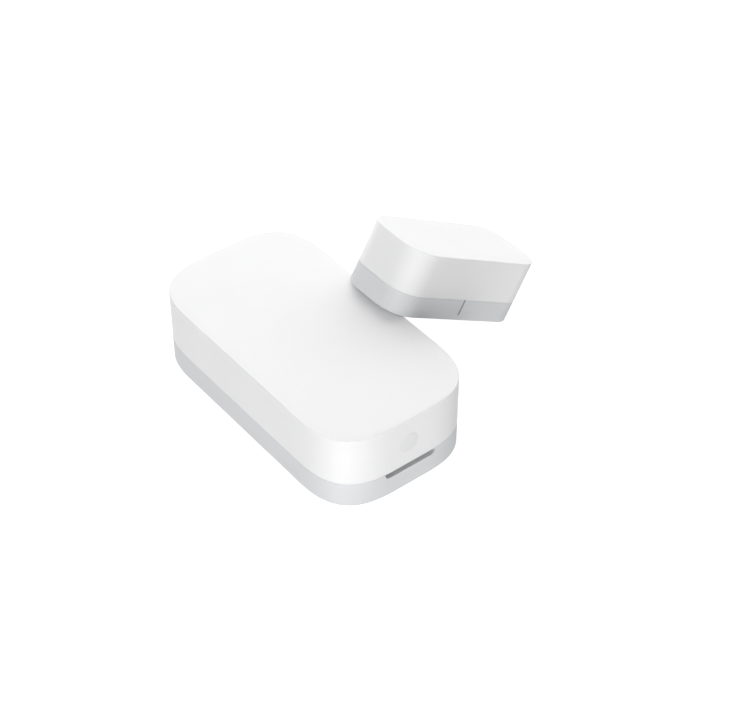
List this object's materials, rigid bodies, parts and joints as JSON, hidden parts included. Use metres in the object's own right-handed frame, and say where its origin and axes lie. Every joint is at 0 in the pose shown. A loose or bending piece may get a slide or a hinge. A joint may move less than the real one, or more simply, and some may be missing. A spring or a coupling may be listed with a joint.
{
  "type": "door contact sensor",
  "caption": "Small wireless door contact sensor in two pieces: a rounded white and grey sensor unit with an end button, and a smaller magnet unit leaning on its side.",
  "frame": {"origin": "centre of the adhesive face under the sensor unit", "axes": "+X along the sensor towards its reset button, +Y from the sensor to the magnet unit, +Z away from the surface it is stuck to"},
  "size_m": [0.041, 0.0457, 0.0203],
  "materials": {
    "white_plastic": "moulded, fine satin",
    "grey_plastic": "moulded, fine satin",
    "button_plastic": "moulded, fine satin",
    "foam_tape": "adhesive-coated foam",
    "board_laminate": "solder mask over glass laminate",
    "black_plastic": "moulded",
    "clear_glass": "drawn glass tube",
    "bright_steel": "nickel-plated steel",
    "gold_plate": "gold-flashed spring contact",
    "dark_chip": "moulded package",
    "white_ceramic": "fired ceramic",
    "tan_ceramic": "fired ceramic",
    "nickel_plate": "nickel plate"
  },
  "bodies": {
    "sensor_base": {"rear_cover": "grey_plastic", "sensor_adhesive_pad": "foam_tape"},
    "sensor_head": {"front_cover": "white_plastic", "circuit_board": "board_laminate", "battery_holder": "black_plastic", "battery_negative_contact": "gold_plate", "battery_positive_contact": "gold_plate", "capacitor_1": "tan_ceramic", "capacitor_2": "tan_ceramic", "capacitor_3": "tan_ceramic", "capacitor_4": "tan_ceramic", "capacitor_5": "tan_ceramic", "capacitor_6": "tan_ceramic", "chip_antenna": "white_ceramic", "crystal_can": "nickel_plate", "power_inductor": "dark_chip", "radio_chip": "dark_chip", "reed_glass_tube": "clear_glass", "reed_lead_left": "bright_steel", "reed_lead_right": "bright_steel", "regulator_chip": "dark_chip", "resistor_1": "dark_chip", "resistor_2": "dark_chip", "resistor_3": "dark_chip", "resistor_4": "dark_chip", "status_led": "white_ceramic", "switch_cover_plate": "bright_steel", "switch_housing": "black_plastic"},
    "coin_cell": {"battery_can": "bright_steel", "battery_gasket": "black_plastic", "battery_cap": "bright_steel"},
    "button": {"reset_button": "button_plastic"},
    "plunger": {"switch_plunger": "black_plastic"},
    "magnet_unit": {"magnet_cover": "white_plastic", "magnet_base": "grey_plastic", "bar_magnet": "nickel_plate", "magnet_adhesive_pad": "foam_tape"}
  },
  "joints": [
    {"name": "head_lift", "type": "slide", "parent": "sensor_base", "child": "sensor_head", "axis": [0, 0, 1], "range_m": [0, 0.024]},
    {"name": "cell_drop", "type": "slide", "parent": "sensor_head", "child": "coin_cell", "axis": [0, 0, -1], "range_m": [0, 0.012]},
    {"name": "button_press", "type": "slide", "parent": "sensor_head", "child": "button", "axis": [-1, 0, 0], "range_m": [0, 0.0003], "stiffness_N_per_m": 400},
    {"name": "plunger_press", "type": "slide", "parent": "sensor_head", "child": "plunger", "axis": [-1, 0, 0], "range_m": [0, 0.0003]},
    {"name": "magnet_slide", "type": "slide", "parent": "sensor_head", "child": "magnet_unit", "axis": [0, 1, 0], "range_m": [0, 0.03]}
  ],
  "couplings": [
    {"joint": "cell_drop", "follows": "head_lift", "ratio": 0.5},
    {"joint": "plunger_press", "follows": "button_press", "ratio": 1}
  ]
}
